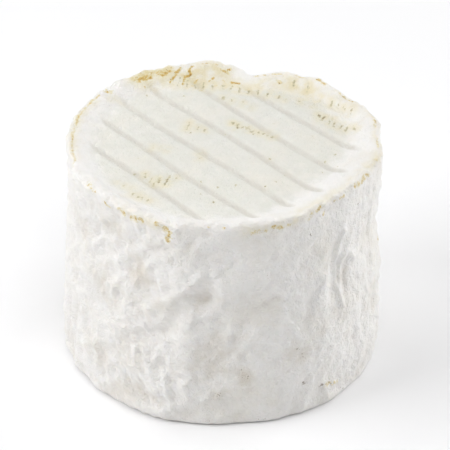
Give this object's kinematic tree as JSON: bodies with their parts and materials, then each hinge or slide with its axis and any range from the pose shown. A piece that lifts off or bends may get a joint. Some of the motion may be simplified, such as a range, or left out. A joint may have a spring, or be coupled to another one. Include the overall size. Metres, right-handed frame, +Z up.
{
  "type": "cheese wheel",
  "caption": "Small tall soft-ripened cheese, whole: a slumped round drum with a raised rim, slat-marked top and white mould rind.",
  "frame": {"origin": "middle of the base, on the surface the cheese rests on", "axes": "+Z up through the middle of the cheese; -Y towards the front, the side that the picture shows; +X to its right"},
  "size_m": [0.0902, 0.0888, 0.068],
  "materials": {
    "rind": "soft, downy white mould rind with ochre flecks, matte"
  },
  "bodies": {
    "root": {"cheese": "rind"}
  },
  "joints": []
}
